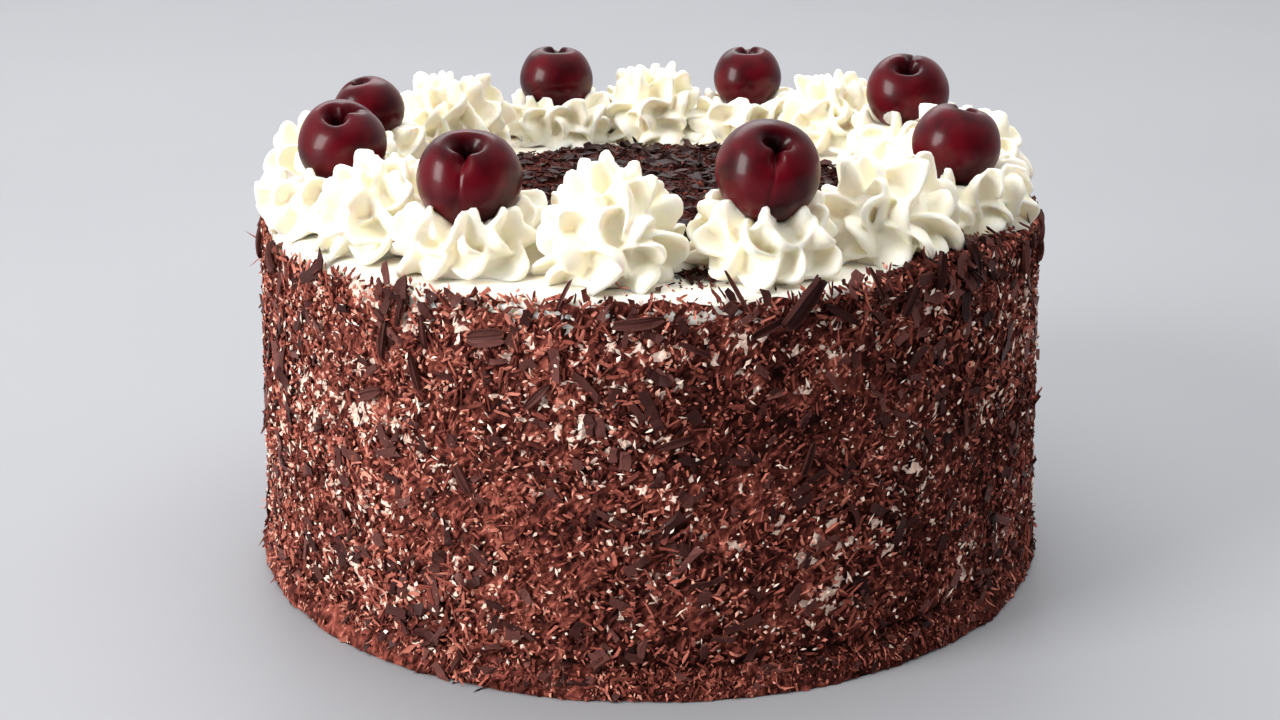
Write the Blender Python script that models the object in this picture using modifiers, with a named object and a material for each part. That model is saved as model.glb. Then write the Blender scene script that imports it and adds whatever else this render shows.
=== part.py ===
"""Black forest cake, whole: a tall round cake in a coat of chocolate shavings, under a layer of cream that
carries a ring of sixteen piped swirls, a cherry on every second one, and a bed of shavings inside the ring.

Metres, +Z up. The origin is the middle of the underside. Angles round the cake are in degrees from the
front, which is -Y, towards the right, which is +X.
"""

import math
import random

import bmesh
import bpy
from mathutils import Euler, Vector

MM = 0.001
TURN = 2 * math.pi

# Clear space between pieces that touch, and between a cherry and the points of the cream that holds it
GAP = 0.35 * MM
CHERRY_CLEARANCE = 0.9 * MM

# The coated cake: its wall leans out a little towards the foot
WALL_TOP_RADIUS = 105.0 * MM
WALL_FOOT_RADIUS = 108.3 * MM
COAT_HEIGHT = 94.2 * MM
COAT_UNEVEN = 0.45 * MM
COAT_TOP_INSET = 2.2 * MM
COAT_LEVELS = (0.97, 0.8, 0.6, 0.4, 0.2, 0.1, 0.0)
ROUND_SEGMENTS = 60

# The layer of cream on top, seen as a smooth rounded rim above the coat
CREAM_TOP = 97.5 * MM
CREAM_RADIUS = 104.3 * MM
CREAM_CORNER = 2.6 * MM
CREAM_CORNER_STEPS = 3
CREAM_UNDERCUT = 0.5 * MM
CREAM_UNEVEN_SHARE = 0.003

# Loose shavings that lie against the foot of the wall, in a ring that falls from the wall over a crest to a
# low outer edge. The crest is a share of the ring's width, the last three are shares of its height
FOOT_REACH = 110.6 * MM
FOOT_HEIGHT = 7.0 * MM
FOOT_UNEVEN = 0.5 * MM
FOOT_CREST = 0.4
FOOT_CREST_HEIGHT = 0.85
FOOT_EDGE_HEIGHT = 0.25
FOOT_HEIGHT_UNEVEN = 0.22

# The bed of shavings inside the ring of swirls
BED_RADIUS = 61.0 * MM
BED_HEIGHT = 3.2 * MM
BED_UNEVEN = 0.8 * MM
BED_RINGS = (0.36, 0.72)
BED_EDGE_HEIGHT = 0.4
BED_SEGMENTS = 48

# Piped swirls: every swirl is a stack of fluted tiers, turned on from tier to tier
FLUTES = 8
STEPS_PER_FLUTE = 3

# One swirl: angle round the cake, distance of its middle from the cake's, height, reach from its middle
FREE_SWIRLS = (
    (-49.7, 85.5, 22.0, 19.0),
    (-6.5, 82.0, 27.0, 17.5),
    (43.0, 85.0, 24.0, 19.5),
    (92.5, 88.5, 22.0, 20.0),
    (138.0, 84.5, 23.0, 18.5),
    (179.5, 82.5, 22.0, 17.5),
    (226.4, 84.0, 23.0, 18.5),
    (271.7, 88.5, 22.5, 20.5),
)
# One swirl with its cherry: angle, distance, reach, then the cherry's height at its middle, its width, how
# far its stem end leans, the side it leans to and the side its cleft runs down
CHERRY_SWIRLS = (
    (-69.2, 88.5, 20.0, 116.8, 24.6, 32, -8, 130),
    (-30.1, 84.5, 18.5, 117.3, 26.6, 27, 0, -8),
    (18.7, 83.0, 18.0, 120.7, 26.2, 36, 18, 0),
    (68.0, 87.5, 19.5, 117.2, 24.4, 14, 90, 190),
    (116.9, 85.5, 19.0, 118.4, 25.4, 34, -12, 160),
    (158.8, 82.5, 18.0, 116.0, 23.0, 12, 0, 180),
    (200.3, 82.5, 18.0, 115.4, 24.4, 8, 10, 180),
    (252.5, 85.5, 19.0, 115.4, 22.2, 12, -60, -90),
)
CHERRY_RING_RADIUS = 84.6 * MM
PETAL_BELOW_CHERRY = 3.5 * MM

# A cherry is a little wider than tall, with a pit for the missing stem and a cleft down one side
CHERRY_HEIGHT_SHARE = 0.90
CHERRY_PIT = 0.34
CHERRY_PIT_WIDTH = 0.36
CHERRY_CLEFT = 0.07
CHERRY_CLEFT_WIDTH = 0.34
CHERRY_SEGMENTS = 14
CHERRY_RINGS = 9

CHOCOLATE = ((0.075, 0.022, 0.012), 0.75)
DARK_CHOCOLATE = ((0.050, 0.016, 0.010), 0.70)
CREAM = ((0.86, 0.80, 0.66), 0.55)
CHERRY_SKIN = ((0.110, 0.004, 0.010), 0.18)


def clear_scene():
    for thing in list(bpy.data.objects):
        bpy.data.objects.remove(thing, do_unlink=True)


def make_material(name, look):
    colour, roughness = look
    material = bpy.data.materials.new(name)
    material.use_nodes = True
    shader = material.node_tree.nodes["Principled BSDF"]
    shader.inputs["Base Color"].default_value = (*colour, 1)
    shader.inputs["Roughness"].default_value = roughness
    shader.inputs["Metallic"].default_value = 0
    return material


def finish(piece, material, collection):
    """Puts a piece in the cake's collection with its material and smooth shading."""
    piece.data.materials.clear()
    piece.data.materials.append(material)
    piece.data.shade_smooth()
    piece.data.set_sharp_from_angle(angle=math.radians(50))
    collection.objects.link(piece)
    return piece


def direction(angle):
    """The outward direction at an angle, in degrees, from the front."""
    return Vector((math.sin(math.radians(angle)), -math.cos(math.radians(angle)), 0))


def ripple(angle, counts, seed):
    """An uneven value of about -1 to 1 round the cake. Even counts make opposite sides alike."""
    phases = random.Random(seed)
    return sum(math.sin(n * angle + phases.uniform(0, TURN)) for n in counts) / math.sqrt(len(counts))


def turned(name, profile, segments, closed=False):
    """A turned mesh from a profile of (radius, height), which runs down its outer side."""
    mesh = bpy.data.meshes.new(name)
    last = len(profile) - 1
    edges = [(i, i + 1) for i in range(last)] + ([(last, 0)] if closed else [])
    mesh.from_pydata([(radius, 0, height) for radius, height in profile], edges, [])
    guide = bpy.data.objects.new(name + "_profile", mesh)
    bpy.context.scene.collection.objects.link(guide)
    screw = guide.modifiers.new("turn", "SCREW")
    screw.steps = screw.render_steps = segments
    screw.use_merge_vertices = True
    screw.merge_threshold = 0.00001
    depsgraph = bpy.context.evaluated_depsgraph_get()
    solid = bpy.data.meshes.new_from_object(guide.evaluated_get(depsgraph))
    bpy.data.objects.remove(guide, do_unlink=True)
    return solid


def move_points(mesh, place):
    """Moves each point of a mesh to place(radius, angle, height), which gives a radius and a height."""
    for point in mesh.vertices:
        x, y, z = point.co
        radius, angle = math.hypot(x, y), math.atan2(y, x)
        radius, z = place(radius, angle, z)
        point.co = (radius * math.cos(angle), radius * math.sin(angle), z)


def wall_radius(angle, height):
    """The uneven outside of the coat at a height."""
    lean = WALL_TOP_RADIUS + (WALL_FOOT_RADIUS - WALL_TOP_RADIUS) * (1 - height / COAT_HEIGHT)
    across = ripple(angle, (2, 6, 10, 14), seed=3)
    along = ripple(height * TURN / COAT_HEIGHT, (1, 3), seed=5) * ripple(angle, (4, 8), seed=7)
    return lean + COAT_UNEVEN * (0.6 * across + 0.5 * along)


def make_body(material, collection):
    edge = WALL_TOP_RADIUS - COAT_TOP_INSET
    profile = [(0, COAT_HEIGHT), (edge, COAT_HEIGHT)]
    profile += [(WALL_TOP_RADIUS, COAT_HEIGHT * level) for level in COAT_LEVELS]
    profile += [(0, 0)]

    def place(radius, angle, height):
        if radius < edge + GAP:
            return radius, height
        return wall_radius(angle, height), height

    mesh = turned("cake_body", profile, ROUND_SEGMENTS)
    move_points(mesh, place)
    return finish(bpy.data.objects.new("cake_body", mesh), material, collection)


def make_cream_layer(material, collection):
    bottom = COAT_HEIGHT + GAP
    profile = [(0, CREAM_TOP)]
    for step in range(CREAM_CORNER_STEPS + 1):
        turn = step * math.pi / 2 / CREAM_CORNER_STEPS
        out = CREAM_RADIUS - CREAM_CORNER * (1 - math.sin(turn))
        profile.append((out, CREAM_TOP - CREAM_CORNER * (1 - math.cos(turn))))
    profile += [(CREAM_RADIUS - CREAM_UNDERCUT, bottom), (0, bottom)]

    def place(radius, angle, height):
        if radius > BED_RADIUS:
            radius *= 1 + CREAM_UNEVEN_SHARE * ripple(angle, (2, 6, 8), seed=11)
        return radius, height

    mesh = turned("cream_layer", profile, ROUND_SEGMENTS)
    move_points(mesh, place)
    return finish(bpy.data.objects.new("cream_layer", mesh), material, collection)


def make_foot(material, collection):
    """A low ring of shavings, wedge-shaped in section, all round the foot of the wall."""
    # A radius of 1 stands for the wall and 2 for the ring's outer edge
    profile = [(1, FOOT_HEIGHT), (1 + FOOT_CREST, FOOT_HEIGHT * FOOT_CREST_HEIGHT)]
    profile += [(2, FOOT_HEIGHT * FOOT_EDGE_HEIGHT), (2, 0), (1, 0)]

    def place(radius, angle, height):
        wall = wall_radius(angle, height) + GAP
        height *= 1 + FOOT_HEIGHT_UNEVEN * ripple(angle, (4, 10, 16), seed=13)
        if radius < 1 + FOOT_CREST / 2:
            return wall, height
        reach = FOOT_REACH - FOOT_UNEVEN * (1 - ripple(angle, (6, 12, 18), seed=17))
        return wall + (reach - wall) * (radius - 1), height

    mesh = turned("foot_shavings", profile, ROUND_SEGMENTS, closed=True)
    move_points(mesh, place)
    return finish(bpy.data.objects.new("foot_shavings", mesh), material, collection)


def make_bed(material, collection, hollows):
    """The bed of shavings, with its edge drawn in wherever a swirl reaches into it."""
    bottom = CREAM_TOP + GAP
    profile = [(BED_RADIUS * share, bottom + BED_HEIGHT) for share in (0, *BED_RINGS)]
    profile += [(BED_RADIUS, bottom + BED_EDGE_HEIGHT * BED_HEIGHT), (BED_RADIUS, bottom), (0, bottom)]

    def place(radius, angle, height):
        lift = 0.0
        if height > bottom + 0.1 * MM:
            lift = BED_UNEVEN * ripple(angle + 40 * radius, (2, 3, 7), seed=19) * radius / BED_RADIUS
        if radius > 0.9 * BED_RADIUS:
            radius = min(radius, bed_edge(angle, hollows))
            lift *= 0.3
        return radius, height + lift

    mesh = turned("centre_shavings", profile, BED_SEGMENTS)
    move_points(mesh, place)
    return finish(bpy.data.objects.new("centre_shavings", mesh), material, collection)


def bed_edge(angle, hollows):
    """How far out the bed may reach at an angle, staying clear of round hollows (middle, radius)."""
    out = Vector((math.cos(angle), math.sin(angle), 0))
    edge = BED_RADIUS
    for middle, radius in hollows:
        ahead = middle.dot(out)
        aside = (middle - out * ahead).length
        if ahead > 0 and aside < radius:
            edge = min(edge, ahead - math.sqrt(radius**2 - aside**2))
    return edge


class Cherry:
    """Where one cherry sits and the shape of its skin."""

    def __init__(self, angle, height, width, lean, lean_side, cleft_side):
        self.middle = direction(angle) * CHERRY_RING_RADIUS + Vector((0, 0, height))
        self.radius = width / 2
        axis = Vector((0, 0, 1)) * math.cos(math.radians(lean))
        axis += direction(lean_side) * math.sin(math.radians(lean))
        turn = math.radians(cleft_side - 90)
        self.rotation = Vector((0, 0, 1)).rotation_difference(axis).to_matrix() @ Euler((0, 0, turn)).to_matrix()

    def skin(self, way):
        """The distance from the middle to the skin along a unit vector in the cherry's own axes."""
        from_stem = math.acos(max(-1.0, min(1.0, way.z)))
        pit = CHERRY_PIT * math.exp(-((from_stem / CHERRY_PIT_WIDTH) ** 2))
        aside = math.atan2(way.y, way.x)
        side = math.sin(from_stem) * math.exp(-((aside / CHERRY_CLEFT_WIDTH) ** 2))
        cleft = CHERRY_CLEFT * side * (0.4 + 0.6 * max(way.z, 0))
        oblate = 1 / math.hypot(math.sin(from_stem), math.cos(from_stem) / CHERRY_HEIGHT_SHARE)
        return self.radius * oblate * (1 - pit - cleft)

    def pushed_clear(self, point):
        """A point of the cream, moved straight out of the cherry if it lies in it."""
        away = point - self.middle
        needed = self.skin(self.rotation.inverted() @ away.normalized()) + CHERRY_CLEARANCE
        if away.length < needed:
            return self.middle + away.normalized() * needed
        return point


def make_cherry(name, cherry, material, collection):
    mesh = bpy.data.meshes.new(name)
    shape = bmesh.new()
    bmesh.ops.create_uvsphere(shape, u_segments=CHERRY_SEGMENTS, v_segments=CHERRY_RINGS, radius=1)
    for point in shape.verts:
        point.co = point.co * cherry.skin(point.co.normalized())
    shape.to_mesh(mesh)
    shape.free()
    piece = bpy.data.objects.new(name, mesh)
    piece.location = cherry.middle
    piece.rotation_euler = cherry.rotation.to_euler()
    return finish(piece, material, collection)


def half_spacing(angle, angles):
    """Half the angle to the nearer neighbour in the ring, in radians."""
    gaps = [abs((angle - other + 180) % 360 - 180) for other in angles if other != angle]
    return math.radians(min(gaps)) / 2


def half_width(distance, reach, spacing):
    """The widest a swirl may be along the ring, so that it stays on its side of both neighbours."""
    room = distance * math.sin(spacing) - GAP / 2
    return math.sqrt(room**2 - (reach * math.sin(spacing)) ** 2) / math.cos(spacing)


def swirl_tiers(height, with_cherry):
    """The tiers of a swirl from the foot up: (share of the reach, height, flute depth, twist in degrees)."""
    if with_cherry:
        return (
            (0.86, 0.0, 0.12, 0),
            (1.00, 0.28 * height, 0.18, 8),
            (0.88, 0.50 * height, 0.26, 18),
            (0.95, 0.72 * height, 0.24, 27),
            (0.76, 1.00 * height, 0.26, 36),
            (0.54, 0.70 * height, 0.10, 40),
            (0.27, 0.55 * height, 0.05, 42),
        )
    return (
        (0.86, 0.0, 0.12, 0),
        (1.00, 0.20 * height, 0.18, 8),
        (0.88, 0.36 * height, 0.26, 18),
        (0.96, 0.53 * height, 0.24, 28),
        (0.80, 0.68 * height, 0.32, 38),
        (0.62, 1.00 * height, 0.36, 48),
        (0.32, 0.80 * height, 0.12, 54),
    )


def make_swirl(name, angle, distance, height, reach, width, cherry, seed, material, collection):
    """A piped swirl: fluted rings, one for each tier, lofted into one closed skin."""
    rng = random.Random(seed)
    outward = direction(angle)
    along = Vector((-outward.y, outward.x, 0))
    base = CREAM_TOP + GAP
    foot = outward * distance + Vector((0, 0, base))
    steps = FLUTES * STEPS_PER_FLUTE
    hand = rng.choice((-1, 1))
    start = rng.uniform(0, TURN)
    tall = [rng.uniform(0.86, 1.0) for _ in range(FLUTES)]
    tiers = swirl_tiers(height, cherry is not None)
    shape = bmesh.new()
    rings = []
    for share, level, depth, twist in tiers:
        ring = []
        for step in range(steps):
            flute = math.pi * step / STEPS_PER_FLUTE
            fold = 1 - abs(math.cos(flute))  # 0 on a flute's ridge, towards 1 between two
            turn = start + hand * (TURN * step / steps + math.radians(twist))
            out = share * (1 - depth * fold)
            rise = level * (1 - depth * fold)
            if level > 0.9 * height:
                rise *= tall[(step + STEPS_PER_FLUTE // 2) // STEPS_PER_FLUTE % FLUTES]
            point = foot + outward * (reach * out * math.cos(turn)) + along * (width * out * math.sin(turn))
            point += Vector((0, 0, rise))
            if cherry is not None:
                point = cherry.pushed_clear(point)
            ring.append(shape.verts.new(point))
        rings.append(ring)
    for lower, upper in zip(rings, rings[1:]):
        for step in range(steps):
            after = (step + 1) % steps
            shape.faces.new((lower[step], lower[after], upper[after], upper[step]))
    top = foot + Vector((0, 0, tiers[-1][1]))
    if cherry is not None:
        top = cherry.pushed_clear(top)
    for ring, middle in ((rings[0], foot), (rings[-1], top)):
        centre = shape.verts.new(middle)
        for step in range(steps):
            shape.faces.new((ring[step], ring[(step + 1) % steps], centre))
    bmesh.ops.recalc_face_normals(shape, faces=shape.faces)
    mesh = bpy.data.meshes.new(name)
    shape.to_mesh(mesh)
    shape.free()
    return finish(bpy.data.objects.new(name, mesh), material, collection)


def build_cake():
    clear_scene()
    collection = bpy.data.collections.new("black_forest_cake")
    bpy.context.scene.collection.children.link(collection)
    chocolate = make_material("chocolate_coat", CHOCOLATE)
    dark_chocolate = make_material("chocolate_shavings", DARK_CHOCOLATE)
    cream = make_material("whipped_cream", CREAM)
    skin = make_material("cherry_skin", CHERRY_SKIN)

    make_body(chocolate, collection)
    make_cream_layer(cream, collection)
    make_foot(dark_chocolate, collection)

    angles = [row[0] for row in FREE_SWIRLS + CHERRY_SWIRLS]
    hollows = []
    for number, row in enumerate(FREE_SWIRLS, 1):
        angle, (distance, height, reach) = row[0], (size * MM for size in row[1:])
        width = half_width(distance, reach, half_spacing(angle, angles))
        make_swirl(f"swirl_{number}", angle, distance, height, reach, width, None, number, cream, collection)
        hollows.append((direction(angle) * distance, reach + 2 * GAP))
    for number, row in enumerate(CHERRY_SWIRLS, 1):
        angle, (distance, reach, middle, wide), pose = row[0], (size * MM for size in row[1:5]), row[5:]
        cherry = Cherry(angle, middle, wide, *pose)
        height = middle - PETAL_BELOW_CHERRY - CREAM_TOP
        width = half_width(distance, reach, half_spacing(angle, angles))
        name = f"cherry_swirl_{number}"
        make_swirl(name, angle, distance, height, reach, width, cherry, 20 + number, cream, collection)
        make_cherry(f"cherry_{number}", cherry, skin, collection)
        hollows.append((direction(angle) * distance, reach + 2 * GAP))
    make_bed(dark_chocolate, collection, hollows)


build_cake()
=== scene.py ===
"""Looks of the black forest cake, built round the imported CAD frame. Metres, +Z up, the front is -Y."""

import math

import bpy
import numpy as np
from mathutils import Euler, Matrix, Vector
from mathutils.bvhtree import BVHTree


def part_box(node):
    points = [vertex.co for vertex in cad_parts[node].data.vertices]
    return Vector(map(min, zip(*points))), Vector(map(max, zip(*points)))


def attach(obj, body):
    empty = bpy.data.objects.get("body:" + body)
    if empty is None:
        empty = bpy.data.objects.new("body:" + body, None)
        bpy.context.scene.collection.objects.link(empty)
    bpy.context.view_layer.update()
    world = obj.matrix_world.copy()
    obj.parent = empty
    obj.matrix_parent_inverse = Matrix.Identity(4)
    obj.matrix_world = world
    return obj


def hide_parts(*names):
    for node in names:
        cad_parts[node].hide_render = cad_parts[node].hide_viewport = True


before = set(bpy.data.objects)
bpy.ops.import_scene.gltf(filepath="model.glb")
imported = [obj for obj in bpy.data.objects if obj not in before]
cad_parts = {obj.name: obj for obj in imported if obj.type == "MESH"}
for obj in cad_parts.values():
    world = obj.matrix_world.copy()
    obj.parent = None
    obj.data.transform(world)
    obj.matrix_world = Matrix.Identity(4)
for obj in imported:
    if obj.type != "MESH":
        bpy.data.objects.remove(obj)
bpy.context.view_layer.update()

MM = 0.001
TURN = 2 * math.pi
BODY = "root"

# ---- sizes read from the frame
BODY_HIGH, CREAM_HIGH, BED_HIGH, FOOT_HIGH = (
    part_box(node)[1] for node in ("cake_body", "cream_layer", "centre_shavings", "foot_shavings")
)
TOP_Z = CREAM_HIGH.z
COAT_Z = BODY_HIGH.z
FOOT_Z = FOOT_HIGH.z
BED_Z = BED_HIGH.z
CREAM_RADIUS = CREAM_HIGH.x
WALL_TOP_RADIUS = CREAM_RADIUS + 0.7 * MM
WALL_FOOT_RADIUS = BODY_HIGH.x
FOOT_REACH = FOOT_HIGH.x
BED_RADIUS = BED_HIGH.x

# ---- camera, as the cake is seen
CAMERA_BACK = 504.0 * MM
CAMERA_HEIGHT = 214.9 * MM
CAMERA_PITCH = 16.4
CAMERA_LENS = 52.63
CAMERA_SHIFT = (-0.0077, -0.0469)


# ======== small tools
def rng_for(seed):
    return np.random.default_rng(seed)


def lattice_value(cells, seed):
    """A repeatable random number from 0 to 1 for each whole-number cell."""
    cells = cells.astype(np.int64)
    mixed = cells[..., 0] * 73856093 ^ cells[..., 1] * 19349663 ^ cells[..., 2] * 83492791 ^ seed * 2654435761
    mixed = (mixed ^ (mixed >> 13)) * 1274126177 & 0x7FFFFFFF
    mixed = (mixed ^ (mixed >> 16)) * 668265263 & 0x7FFFFFFF
    return (mixed % 65521) / 65521.0


def noise(points, size, seed):
    """Smooth noise from -1 to 1 in space, whose lumps are about `size` across."""
    at = np.asarray(points, float) / size
    cell = np.floor(at)
    share = at - cell
    share = share * share * (3 - 2 * share)
    total = np.zeros(at.shape[:-1])
    for corner in np.ndindex(2, 2, 2):
        corner = np.array(corner)
        weight = np.prod(np.where(corner == 1, share, 1 - share), axis=-1)
        total += weight * lattice_value(cell + corner, seed)
    return 2 * total - 1


def new_piece(name, points, faces, material, smooth=True, attributes=None):
    """A mesh object from arrays, with its named attributes for the material to read."""
    mesh = bpy.data.meshes.new(name)
    points = np.asarray(points, np.float32).reshape(-1, 3)
    faces = [np.asarray(f, np.int32) for f in faces]
    sizes = np.concatenate([np.full(len(f), f.shape[1], np.int32) for f in faces])
    corners = np.concatenate([f.ravel() for f in faces])
    starts = np.concatenate([[0], np.cumsum(sizes)[:-1]]).astype(np.int32)
    mesh.vertices.add(len(points))
    mesh.vertices.foreach_set("co", points.ravel())
    mesh.loops.add(len(corners))
    mesh.loops.foreach_set("vertex_index", corners)
    mesh.polygons.add(len(sizes))
    mesh.polygons.foreach_set("loop_start", starts)
    mesh.polygons.foreach_set("loop_total", sizes)
    mesh.update(calc_edges=True)
    mesh.validate()
    mesh.polygons.foreach_set("use_smooth", np.full(len(sizes), smooth))
    for key, values in (attributes or {}).items():
        flat = np.asarray(values, np.float32).ravel()
        mesh.attributes.new(key, "FLOAT", "POINT").data.foreach_set("value", flat)
    mesh.materials.append(material)
    piece = bpy.data.objects.new(name, mesh)
    bpy.context.scene.collection.objects.link(piece)
    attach(piece, BODY)
    return piece


def grid_faces(rows, columns):
    """Quads of a tube of point rings, closed round its columns, facing out when rows run upwards."""
    row, column = np.meshgrid(np.arange(rows - 1), np.arange(columns), indexing="ij")
    here, beside = row * columns + column, row * columns + (column + 1) % columns
    return np.stack([here, beside, beside + columns, here + columns], -1).reshape(-1, 4)


def fan_faces(ring_start, columns, middle, upwards):
    """Triangles that close a ring onto one middle point."""
    column = np.arange(columns)
    after = (column + 1) % columns
    fan = [ring_start + column, ring_start + after, np.full(columns, middle)]
    if not upwards:
        fan[0], fan[1] = fan[1], fan[0]
    return np.stack(fan, -1)


def capped_faces(rows, columns):
    """The faces of a tube of point rings, whose two ends close onto the two points that follow the rings."""
    last = rows * columns
    ends = (fan_faces(0, columns, last, False), fan_faces(last - columns, columns, last + 1, True))
    return [grid_faces(rows, columns), np.concatenate(ends)]


# ======== materials
def feed(tree, socket, value):
    """Links a socket to another one, or sets its own value."""
    if isinstance(value, bpy.types.NodeSocket):
        tree.links.new(value, socket)
    elif socket.type == "RGBA":
        socket.default_value = (*value, 1)
    else:
        socket.default_value = value


class Nodes:
    """A short way to write a material's node tree."""

    def __init__(self, name):
        self.material = bpy.data.materials.new(name)
        self.material.use_nodes = True
        self.tree = self.material.node_tree
        self.shader = self.tree.nodes["Principled BSDF"]

    def add(self, kind, settings=None, **inputs):
        node = self.tree.nodes.new(kind)
        for key, value in (settings or {}).items():
            setattr(node, key, value)
        for key, value in inputs.items():
            feed(self.tree, node.inputs[key.replace("_", " ")], value)
        return node

    def set(self, **inputs):
        for key, value in inputs.items():
            feed(self.tree, self.shader.inputs[key.replace("_", " ")], value)

    def attribute(self, name):
        return self.add("ShaderNodeAttribute", {"attribute_name": name}).outputs["Fac"]

    def texture(self, size, detail=2.0, rough=0.5):
        """Noise in the object's own space, with lumps of this size."""
        place = self.add("ShaderNodeTexCoord").outputs["Object"]
        node = self.add("ShaderNodeTexNoise", Vector=place, Scale=1 / size, Detail=detail, Roughness=rough)
        return node.outputs["Fac"]

    def ramp(self, value, stops, smooth=False):
        node = self.add("ShaderNodeValToRGB", Fac=value)
        node.color_ramp.interpolation = "EASE" if smooth else "LINEAR"
        ramp = node.color_ramp.elements
        while len(ramp) < len(stops):
            ramp.new(0.5)
        for element, (place, colour) in zip(ramp, stops):
            element.position = place
            element.color = (*colour, 1)
        return node.outputs["Color"]

    def mix(self, share, first, second, blend="MIX"):
        node = self.tree.nodes.new("ShaderNodeMix")
        node.data_type, node.blend_type = "RGBA", blend
        for socket, value in ((node.inputs[0], share), (node.inputs[6], first), (node.inputs[7], second)):
            feed(self.tree, socket, value)
        return node.outputs[2]

    def maths(self, operation, first, second=0.0):
        node = self.tree.nodes.new("ShaderNodeMath")
        node.operation = operation
        for socket, value in zip(node.inputs, (first, second)):
            feed(self.tree, socket, value)
        return node.outputs[0]

    def bump(self, height, distance, strength=1.0):
        node = self.add("ShaderNodeBump", Strength=strength, Distance=distance, Height=height)
        self.tree.links.new(node.outputs["Normal"], self.shader.inputs["Normal"])


# The cream's tint from its open skin to its deepest hollows, lighter and yellower there as painted shade, and the
# cherry skin's from dark to flushed
CREAM_AND_HOLLOW_SHADE_STOPS = [(0.0, (0.875, 0.835, 0.745)), (0.45, (0.92, 0.875, 0.755)), (1.0, (0.965, 0.91, 0.745))]
SKIN_STOPS = [(0.3, (0.026, 0.0008, 0.0024)), (0.7, (0.085, 0.0016, 0.0054))]
# Width of the lines that the blade leaves on a flake
BLADE_LINE = 0.35 * MM


def cream_material():
    n = Nodes("whipped_cream")
    # Painted shade: the tint follows how closed in each point is, lighter and yellower in the hollows where the
    # warm soft shade lies
    tint = n.ramp(n.attribute("hollow_shade"), CREAM_AND_HOLLOW_SHADE_STOPS)
    mottle = n.ramp(n.texture(5 * MM), [(0.3, (0.97, 0.965, 0.955)), (0.7, (1, 1, 1))])
    n.set(Base_Color=n.mix(1.0, tint, mottle, "MULTIPLY"), Roughness=0.48)
    n.set(Subsurface_Weight=0.5, Subsurface_Radius=(1.0, 0.70, 0.40), Subsurface_Scale=3 * MM)
    n.set(Specular_IOR_Level=0.3)
    height = n.mix(0.4, n.texture(1.0 * MM, 3), n.texture(3.5 * MM, 2))
    n.bump(height, 0.20 * MM, 0.6)
    return n.material


def cherry_material():
    n = Nodes("cherry_skin")
    flush = n.ramp(n.texture(9 * MM, 2), SKIN_STOPS, smooth=True)
    # Painted shade: the deeper in the stem pit, the nearer the skin is painted to black
    pit_shade = n.maths("POWER", n.attribute("pit"), 0.45)
    n.set(Base_Color=n.mix(pit_shade, flush, (0.005, 0.0005, 0.0008)), Roughness=0.38)
    n.set(Coat_Weight=0.20, Coat_Roughness=0.17, Specular_IOR_Level=0.10)
    n.bump(n.texture(1.6 * MM, 3), 0.05 * MM, 0.35)
    return n.material


def chocolate_material(name, stops, roughness=0.55, striated=False):
    """Shaved chocolate: each shaving's own tone picks its colour, and flakes carry the blade's fine lines."""
    n = Nodes(name)
    tone = n.ramp(n.attribute("tone"), stops)
    grain = n.texture(0.7 * MM, 3, 0.6)
    if striated:
        across = n.attribute("across")
        lines = n.add("ShaderNodeTexNoise", {"noise_dimensions": "1D"}, W=across, Scale=1 / BLADE_LINE)
        grain = n.mix(0.55, grain, lines.outputs["Fac"])
    shade = n.ramp(grain, [(0.25, (0.68, 0.66, 0.66)), (0.75, (1.32, 1.28, 1.25))])
    n.set(Base_Color=n.mix(1.0, tone, shade, "MULTIPLY"), Roughness=roughness, IOR=1.16)
    n.bump(grain, 0.10 * MM, 0.7)
    return n.material


CRUMB_STOPS = [
    (0.0, (0.018, 0.005, 0.004)),
    (0.3, (0.084, 0.0185, 0.014)),
    (0.6, (0.275, 0.072, 0.052)),
    (0.85, (0.58, 0.215, 0.155)),
    (1.0, (0.76, 0.43, 0.33)),
]
FLAKE_STOPS = [
    (0.0, (0.018, 0.006, 0.006)),
    (0.4, (0.062, 0.021, 0.018)),
    (0.75, (0.125, 0.046, 0.040)),
    (1.0, (0.21, 0.088, 0.072)),
]


def core_material():
    """The bare side between the shavings: fine dark crumb, with the cream showing where it is thin."""
    n = Nodes("coat_core")
    tone = n.ramp(n.attribute("tone"), CRUMB_STOPS)
    grain = n.texture(0.6 * MM, 4, 0.7)
    shade = n.ramp(grain, [(0.25, (0.55, 0.52, 0.52)), (0.75, (1.4, 1.35, 1.3))])
    brown = n.mix(1.0, tone, shade, "MULTIPLY")
    edge = n.maths("ADD", n.attribute("cream"), n.maths("MULTIPLY", grain, 0.6))
    bare = n.ramp(edge, [(0.50, (0, 0, 0)), (0.60, (1, 1, 1))])
    n.set(Base_Color=n.mix(bare, brown, (0.88, 0.66, 0.55)), Roughness=0.6, IOR=1.15)
    n.bump(grain, 0.15 * MM, 0.8)
    return n.material


def cream_speck_material():
    n = Nodes("cream_speck")
    tint = n.ramp(n.attribute("tone"), [(0.0, (0.62, 0.40, 0.30)), (1.0, (0.94, 0.77, 0.66))])
    n.set(Base_Color=tint, Roughness=0.5)
    n.bump(n.texture(0.6 * MM, 2), 0.05 * MM, 0.5)
    return n.material


# ======== cherries
# How far each stem end leans, the side it leans to, and the side its cleft runs down, in degrees
CHERRY_POSES = ((32, -8, 130), (27, 0, -8), (36, 18, 0), (14, 90, 190), (34, -12, 160), (12, 0, 180),
                (8, 10, 180), (12, -60, -90))
CHERRY_HEIGHT_SHARE = 0.93
CHERRY_COLUMNS = 76
CHERRY_ROWS = 44


def direction(angle):
    """The outward direction at an angle, in degrees, from the front."""
    return Vector((math.sin(math.radians(angle)), -math.cos(math.radians(angle)), 0))


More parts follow.
